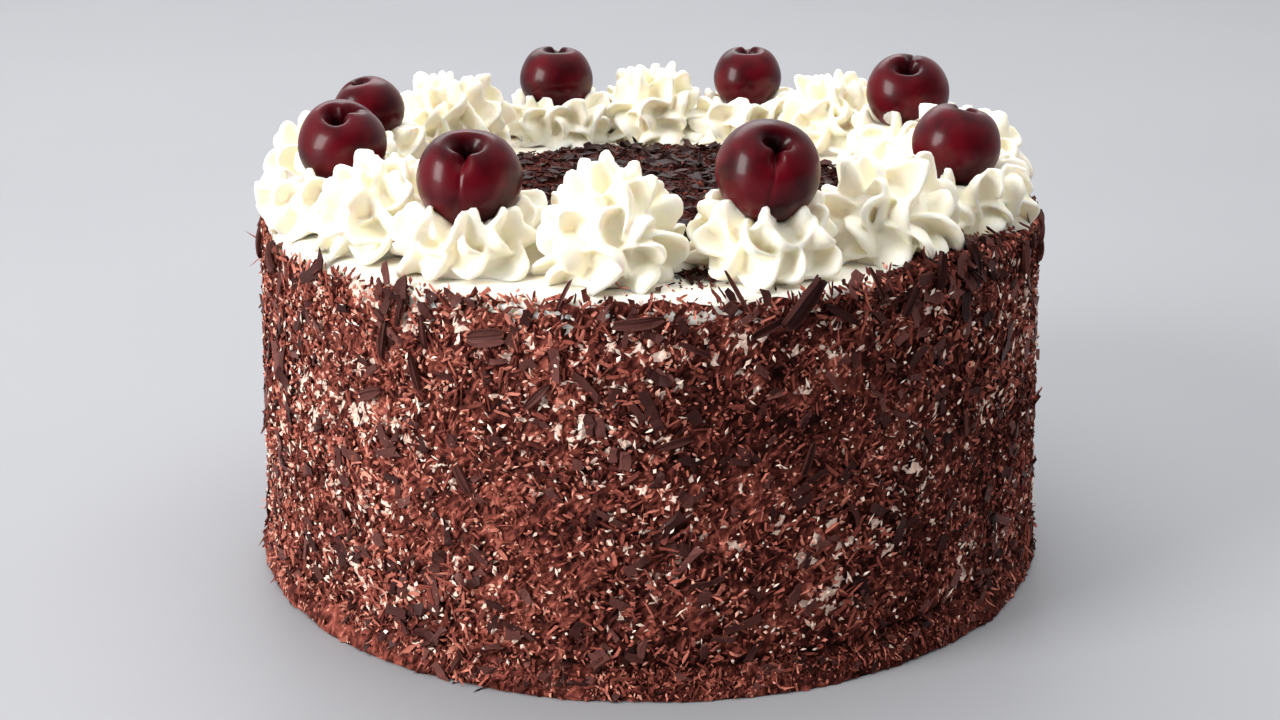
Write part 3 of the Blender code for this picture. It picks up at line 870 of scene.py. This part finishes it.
def on_climb(count, rng, lift):
    """Where the coat runs up over the rim and onto the top, at the right of the front."""
    degrees = rng.normal(CLIMB_ANGLE, CLIMB_SPREAD, count)
    spread = np.exp(-(((degrees - CLIMB_ANGLE) / 12) ** 2))
    angles = np.radians(degrees)
    x, y = polar(angles)
    radii = CREAM_RADIUS + 0.5 * MM - 9.5 * MM * spread * rng.uniform(0, 1, count) ** 1.3
    past = np.clip(radii - (CREAM_RADIUS - CREAM_CORNER), 0, CREAM_CORNER)
    heights = TOP_Z - CREAM_CORNER + np.sqrt(CREAM_CORNER**2 - past**2)
    heights += (rng.uniform(0, 2.4, count) * spread + rng.uniform(*lift, count) * 0.5) * MM
    spots = np.stack([radii * x, radii * y, heights], -1)
    out = unit(np.stack([x * past / MM, y * past / MM, (CREAM_CORNER - 0.6 * past) / MM], -1))
    return spots, out, unit(np.cross(out, np.stack([y, -x, 0 * x], -1)))


ZONES = {"wall": on_wall, "rim": on_rim, "foot": on_foot, "bed": on_bed, "gap": on_gap, "climb": on_climb}
# How much darker or lighter the shavings of a zone are, and how far they turn from the way round
ZONE_TONE = {"bed": -0.46, "gap": -0.30, "climb": -0.24}
ZONE_SPIN = {"rim": 0.7, "foot": 0.75}


def lying(out, along, spin, pitch, roll):
    """Each piece's own axes (length, width, thickness), turned about the way out, tipped up and rolled."""
    across = np.cross(out, along)
    length = along * np.cos(spin)[:, None] + across * np.sin(spin)[:, None]
    raised = length * np.cos(pitch)[:, None] + out * np.sin(pitch)[:, None]
    thickness = out * np.cos(pitch)[:, None] - length * np.sin(pitch)[:, None]
    width = np.cross(thickness, raised)
    rolled = width * np.cos(roll)[:, None] + thickness * np.sin(roll)[:, None]
    return np.stack([raised, rolled, np.cross(raised, rolled)], 1)


def make_shavings(name, kind, material):
    """All loose pieces of one kind as one mesh, each piece at its true size."""
    rng = rng_for(kind["seed"])
    shape, faces = kind["shape"]
    spots, axes, tones = [], [], []
    for zone, count in kind["zones"].items():
        place, out, along = ZONES[zone](count, rng, kind["lift"])
        if zone == "wall":
            bare = bareness(place)
            keep = rng.uniform(0, 1, count) > np.clip((bare - 0.62) * kind["shy"], -0.1, 0.9)
            # Few shavings lie in the crease, so that its painted shade shows
            keep &= rng.uniform(0, 1, count) > 0.85 * crease(place)
            place, out, along = place[keep], out[keep], along[keep]
        some = len(place)
        spin = rng.uniform(0, TURN, some)
        pitch = np.radians(rng.normal(kind["tip"][zone == "rim"], kind["tipped"], some))
        roll = np.radians(rng.normal(0, kind["rolled"], some))
        if zone in ZONE_SPIN:
            spin = rng.normal(0, ZONE_SPIN[zone], some)
        spots.append(place)
        axes.append(lying(out, along, spin, pitch, roll))
        low, high = kind["tone"]
        # The tone follows the light patches and the painted light: lighter on the left, darker on the right
        shift = ZONE_TONE.get(zone, 0.0) + kind["patch_and_side_light"] * patch_tone_and_side_light(place)
        tones.append(low + (high - low) * rng.uniform(0, 1, some) + shift)
    spots, axes, tones = np.concatenate(spots), np.concatenate(axes), np.clip(np.concatenate(tones), 0, 1)
    count = len(spots)
    sizes = np.stack([rng.uniform(*kind[side], count) for side in ("length", "width", "thickness")], -1)
    sizes[:, 0] *= 1 + kind["long_ones"] * rng.uniform(0, 1, count) ** 6
    sizes *= (1 + 0.38 * noise(spots, 24 * MM, 61))[:, None]
    local = shape[None] * (1 + rng.uniform(-0.3, 0.3, (count, len(shape), 3)))
    local[..., 1:] += rng.uniform(-0.14, 0.14, (count, len(shape), 2))
    local[..., 0] += kind["curl"] * 0.35 * local[..., 1] * rng.uniform(-1, 1, count)[:, None]
    curl = rng.normal(0, kind["curl"], count)[:, None]
    twist = rng.normal(0, kind["twist"], count)[:, None] * local[..., 0]
    local *= sizes[:, None, :] * MM
    across = local[..., 1].copy()
    turned_y = local[..., 1] * np.cos(twist) - local[..., 2] * np.sin(twist)
    turned_z = local[..., 1] * np.sin(twist) + local[..., 2] * np.cos(twist)
    turned_z += curl * (local[..., 0] ** 2) / (sizes[:, :1] * MM)
    turned_y += rng.normal(0, kind["curl"] * 0.5, count)[:, None] * (local[..., 0] ** 2) / (sizes[:, :1] * MM)
    local = np.stack([local[..., 0], turned_y, turned_z], -1)
    points = spots[:, None] + np.einsum("nvk,nkd->nvd", local, axes)
    points[..., 2] = np.maximum(points[..., 2], 0)
    offsets = (np.arange(count) * len(shape))[:, None, None]
    all_faces = [(group[None] + offsets).reshape(-1, group.shape[1]) for group in faces]
    attributes = {
        "tone": np.repeat(tones, len(shape)),
        "across": across.ravel() + np.repeat(rng.uniform(0, 1, count), len(shape)),
    }
    new_piece(name, points, all_faces, material, smooth=False, attributes=attributes)


# The few shavings large enough to be seen one by one at the front: angle round the cake, height of the middle,
# length, width and thickness (mm), turn from upright towards the right (degrees), bow along the length, tone
LARGE_SHAVINGS = (
    (10.6, 99.0, 10.4, 1.1, 0.9, -30, 0.9, 0.56),
    (19.0, 95.5, 13.0, 3.6, 1.6, 38, 0.4, 0.14),
    (-1.3, 92.3, 11.0, 2.7, 1.0, 86, 1.0, 0.50),
    (-20.6, 87.0, 8.5, 4.2, 1.0, 80, 0.5, 0.62),
    (-10.5, 98.2, 7.6, 0.9, 0.7, 22, 0.6, 0.80),
    (29.5, 97.6, 8.1, 0.9, 0.8, -26, 0.5, 0.36),
    (-33.0, 90.5, 8.5, 1.4, 1.0, 14, 0.5, 0.45),
    (-29.5, 86.0, 7.6, 1.3, 0.9, -12, 0.4, 0.50),
    (-36.0, 82.0, 9.0, 1.4, 1.0, 5, 0.5, 0.35),
    (-31.0, 76.0, 7.6, 1.7, 1.0, -22, 0.5, 0.45),
    (-38.5, 68.0, 7.1, 2.9, 1.0, 66, 0.5, 0.55),
    (24.5, 91.5, 9.5, 1.9, 1.1, -55, 0.5, 0.16),
    (14.5, 90.0, 8.5, 1.9, 1.0, 64, 0.6, 0.18),
    (35.0, 92.5, 8.5, 2.0, 1.1, 36, 0.4, 0.14),
    (40.0, 97.5, 8.5, 2.2, 1.2, 12, 0.4, 0.13),
    (47.0, 98.5, 7.6, 2.4, 1.2, -20, 0.5, 0.11),
    (5.5, 86.0, 7.6, 1.4, 0.9, -68, 0.6, 0.35),
    (-14.0, 74.0, 8.1, 2.0, 1.0, 48, 0.6, 0.50),
    (3.0, 64.0, 7.6, 1.7, 1.0, 75, 0.7, 0.32),
    (-24.0, 52.0, 7.1, 2.2, 1.0, -35, 0.5, 0.50),
    (20.0, 58.0, 7.6, 1.6, 0.9, 20, 0.6, 0.18),
)


def make_large_shavings(material):
    """The large shavings seen at the front, and as many again spread round the rest of the rim."""
    rng = rng_for(57)
    rest = [(rng.uniform(60, 300), rng.uniform(86, 96), rng.uniform(7, 11), rng.uniform(1.6, 3.8),
             rng.uniform(0.8, 1.3), rng.uniform(-80, 80), rng.uniform(0.4, 0.9), rng.uniform(0.3, 0.6))
            for _ in LARGE_SHAVINGS]
    stations, ridges = 9, 9
    u = np.linspace(-0.5, 0.5, ridges)
    loop = np.concatenate([u, u[::-1]])
    side = np.repeat((0.5, -0.5), ridges)
    points, tones, across, faces = [], [], [], []
    for angle, height, length, width, thickness, turn, bow, tone in (*LARGE_SHAVINGS, *rest):
        x = np.linspace(-0.5, 0.5, stations)[:, None]
        ragged = 1 - rng.uniform(0.15, 0.7, (stations, 1)) * (2 * np.abs(x)) ** 2.5
        ridge = np.concatenate([rng.uniform(-0.35, 0.35, ridges), np.zeros(ridges)])
        wide = loop * width * ragged
        deep = side * thickness + ridge * 0.5 * thickness + 0.9 * width * loop**2 - bow * 4 * x**2 * length / 10
        ends = x * length + rng.uniform(-0.07, 0.07, loop.shape) * length
        local = np.stack([ends, wide, deep + 0 * x], -1)
        spot = np.append(wall_radius(height * MM) * np.array(polar(math.radians(angle))), height * MM)
        out = np.array([[*polar(math.radians(angle)), 0.0]])
        turned = -np.radians([turn + rng.uniform(-3, 3)])
        rolled = np.radians([rng.uniform(-12, 12)])
        axes = lying(out, np.array([[0, 0, 1.0]]), turned, np.radians([-5.0]), rolled)[0]
        lifted = spot + out[0] * (0.5 * thickness + 0.5) * MM
        faces += [group + len(points) * stations * 2 * ridges for group in tube_faces(stations, 2 * ridges)]
        points.append(lifted + local.reshape(-1, 3) @ axes * MM)
        tones.append(np.full(len(points[-1]), tone))
        across.append((wide * MM).ravel() + rng.uniform(0, 1))
    attributes = {"tone": np.concatenate(tones), "across": np.concatenate(across)}
    joined = np.concatenate(points)
    new_piece("large_shavings", joined, faces, material, smooth=False, attributes=attributes)


# Each kind of loose piece: its random seed, its shape, how many lie in each zone, its range of length, width and
# thickness (mm), how far it lies off the core (mm), how strongly it keeps off the bare patches (below 0: seeks
# them), how far it tips up (degrees; the second is at the rim) and varies in tip and roll, its range of tone and
# how much that follows the light patches and the painted light, lighter on the left and darker on the right, how
# much longer a few grow, and how far it curls and twists
SHAVINGS = {
    "shaving_crumbs": dict(
        seed=51, shape=rod(1, 0), zones={"wall": 26000, "rim": 700, "foot": 2900, "bed": 3200, "gap": 120},
        length=(0.8, 2.1), width=(0.6, 1.35), thickness=(0.4, 0.9), lift=(-0.4, 0.5), shy=3.2,
        tip=(0, 10), tipped=18, rolled=50, tone=(0.22, 1.0), patch_and_side_light=0.24, long_ones=0.4, curl=0.1, twist=0,
    ),
    "loose_crumbs": dict(
        seed=56, shape=rod(1, 0), zones={"foot": 6600, "climb": 2900},
        length=(0.9, 2.4), width=(0.7, 1.4), thickness=(0.5, 1.0), lift=(-0.4, 0.9), shy=0,
        tip=(0, 0), tipped=25, rolled=60, tone=(0.15, 0.95), patch_and_side_light=0.24, long_ones=0.4, curl=0.1, twist=0,
    ),
    "shaving_slivers": dict(
        seed=52, shape=rod(2, 0.36),
        zones={"wall": 11600, "rim": 650, "foot": 1900, "bed": 1450, "gap": 60, "climb": 700},
        length=(1.5, 3.8), width=(0.5, 1.3), thickness=(0.3, 0.7), lift=(-0.1, 0.6), shy=3.0,
        tip=(0, 9), tipped=7, rolled=35, tone=(0.10, 0.74), patch_and_side_light=0.18, long_ones=0.8, curl=0.3, twist=0.5,
    ),
    "shaving_flakes": dict(
        seed=53, shape=plate(4),
        zones={"wall": 850, "rim": 42, "foot": 150, "bed": 520, "gap": 18, "climb": 70},
        length=(2.8, 5.6), width=(1.2, 2.6), thickness=(0.3, 0.6), lift=(0.2, 0.7), shy=1.5,
        tip=(0, 9), tipped=7, rolled=10, tone=(0.05, 0.8), patch_and_side_light=0.1, long_ones=1.1, curl=0.3, twist=0.4,
    ),
    "shaving_curls": dict(
        seed=54, shape=rod(6, 0.42), zones={"wall": 90, "rim": 26, "foot": 430, "bed": 120, "climb": 20},
        length=(3.4, 6.6), width=(0.5, 0.95), thickness=(0.3, 0.6), lift=(0.2, 0.8), shy=0.3,
        tip=(0, 12), tipped=4, rolled=90, tone=(0.35, 0.9), patch_and_side_light=0.1, long_ones=0.4, curl=0.9, twist=1.5,
    ),
    "cream_specks": dict(
        seed=55, shape=rod(1, 0), zones={"wall": 6400},
        length=(0.7, 2.2), width=(0.5, 1.3), thickness=(0.3, 0.7), lift=(0.2, 0.9), shy=-3.0,
        tip=(0, 0), tipped=8, rolled=20, tone=(0.3, 1.0), patch_and_side_light=0.2, long_ones=1.0, curl=0.2, twist=0,
    ),
}


# ======== stage
def make_stage():
    mesh = bpy.data.meshes.new("floor")
    size = 4.0
    corners = [(-size, -size, 0), (size, -size, 0), (size, size, 0), (-size, size, 0)]
    mesh.from_pydata(corners, [], [(0, 1, 2, 3)])
    n = Nodes("floor")
    tint = n.ramp(n.texture(0.3), [(0, (0.275, 0.280, 0.298)), (1, (0.305, 0.310, 0.328))])
    n.set(Base_Color=tint, Roughness=0.5, Specular_IOR_Level=0.2)
    mesh.materials.append(n.material)
    floor = bpy.data.objects.new("floor", mesh)
    floor.location.z = -0.2 * MM
    bpy.context.scene.collection.objects.link(floor)


def add_area(name, angle, elevation, distance, size, power, colour):
    data = bpy.data.lights.new(name, "AREA")
    data.shape, data.size, data.size_y = "RECTANGLE", *size
    data.energy, data.color = power, colour
    lamp = bpy.data.objects.new(name, data)
    flat = direction(angle) * math.cos(math.radians(elevation))
    place = (flat + Vector((0, 0, math.sin(math.radians(elevation))))) * distance + Vector((0, 0, 0.06))
    lamp.location = place
    lamp.rotation_euler = (Vector((0, 0, 0.06)) - place).to_track_quat("-Z", "Y").to_euler()
    bpy.context.scene.collection.objects.link(lamp)
    return lamp


# Strength of the room's light from its dark to its pale side, and of the plain backdrop that the eye sees
ROOM_DARK, ROOM_PALE, BACKDROP = 0.04, 1.0, 0.55


def make_world():
    """A dim room that is pale behind and above the cake; the eye sees a plain pale backdrop."""
    world = bpy.data.worlds.new("room")
    world.use_nodes = True
    tree = world.node_tree
    way = tree.nodes.new("ShaderNodeTexCoord").outputs["Generated"]
    parts = tree.nodes.new("ShaderNodeSeparateXYZ")
    tree.links.new(way, parts.inputs[0])
    rise = tree.nodes.new("ShaderNodeMath")
    rise.operation = "MULTIPLY_ADD"
    tree.links.new(parts.outputs["Z"], rise.inputs[0])
    rise.inputs[1].default_value = 0.35
    tree.links.new(parts.outputs["Y"], rise.inputs[2])
    ramp = tree.nodes.new("ShaderNodeMapRange")
    tree.links.new(rise.outputs[0], ramp.inputs["Value"])
    for key, value in (("From Min", -0.4), ("From Max", 1.0), ("To Min", ROOM_DARK), ("To Max", ROOM_PALE)):
        ramp.inputs[key].default_value = value
    seen = tree.nodes.new("ShaderNodeLightPath").outputs["Is Camera Ray"]
    pick = tree.nodes.new("ShaderNodeMix")
    tree.links.new(seen, pick.inputs[0])
    tree.links.new(ramp.outputs[0], pick.inputs[2])
    pick.inputs[3].default_value = BACKDROP
    background = tree.nodes["Background"]
    background.inputs["Color"].default_value = (0.97, 0.985, 1.0, 1)
    tree.links.new(pick.outputs[0], background.inputs["Strength"])
    bpy.context.scene.world = world


def make_lights():
    add_area("window", -60, 21, 2.4, (1.0, 1.5), 84, (1.0, 0.985, 0.965))
    fill = add_area("fill", 62, 18, 2.6, (1.6, 1.2), 14, (1.0, 0.99, 0.98))
    fill.visible_glossy = False
    add_area("backlight", -165, 40, 2.4, (2.0, 1.2), 26, (0.98, 0.985, 1.0))
    ceiling = add_area("ceiling", 0, 89, 1.8, (2.4, 2.4), 44, (1.0, 0.99, 0.98))
    ceiling.visible_glossy = False
    make_world()
    bpy.context.scene.view_settings.view_transform = "Standard"


def make_camera():
    data = bpy.data.cameras.new("camera")
    data.lens, data.sensor_width = CAMERA_LENS, 36
    data.shift_x, data.shift_y = CAMERA_SHIFT
    camera = bpy.data.objects.new("camera", data)
    camera.location = (0, -CAMERA_BACK, CAMERA_HEIGHT)
    camera.rotation_euler = (math.radians(90 - CAMERA_PITCH), 0, 0)
    bpy.context.scene.collection.objects.link(camera)
    bpy.context.scene.camera = camera


# ======== the cake
make_camera()
make_lights()
make_stage()
cream = cream_material()
skin = cherry_material()
crumb = chocolate_material("chocolate_crumb", CRUMB_STOPS)
flake = chocolate_material("chocolate_flake", FLAKE_STOPS, 0.42, striated=True)
coat = core_material()
cherries = {number: Cherry(number) for number in range(1, 9)}
for cherry in cherries.values():
    make_cherry(cherry, skin)
for order, (node, style) in enumerate(SWIRLS.items()):
    holder = cherries[int(node.split("_")[-1])] if node.startswith("cherry") else None
    make_swirl(node + "_piped", node, style, 100 + order, cream, holder)
make_cream_top(cream)
make_coat_core(coat)
make_foot_core(coat)
make_bed_core(coat)
looks = {"shaving_flakes": flake, "cream_specks": cream_speck_material()}
for name, kind in SHAVINGS.items():
    make_shavings(name, kind, looks.get(name, crumb))
make_large_shavings(flake)
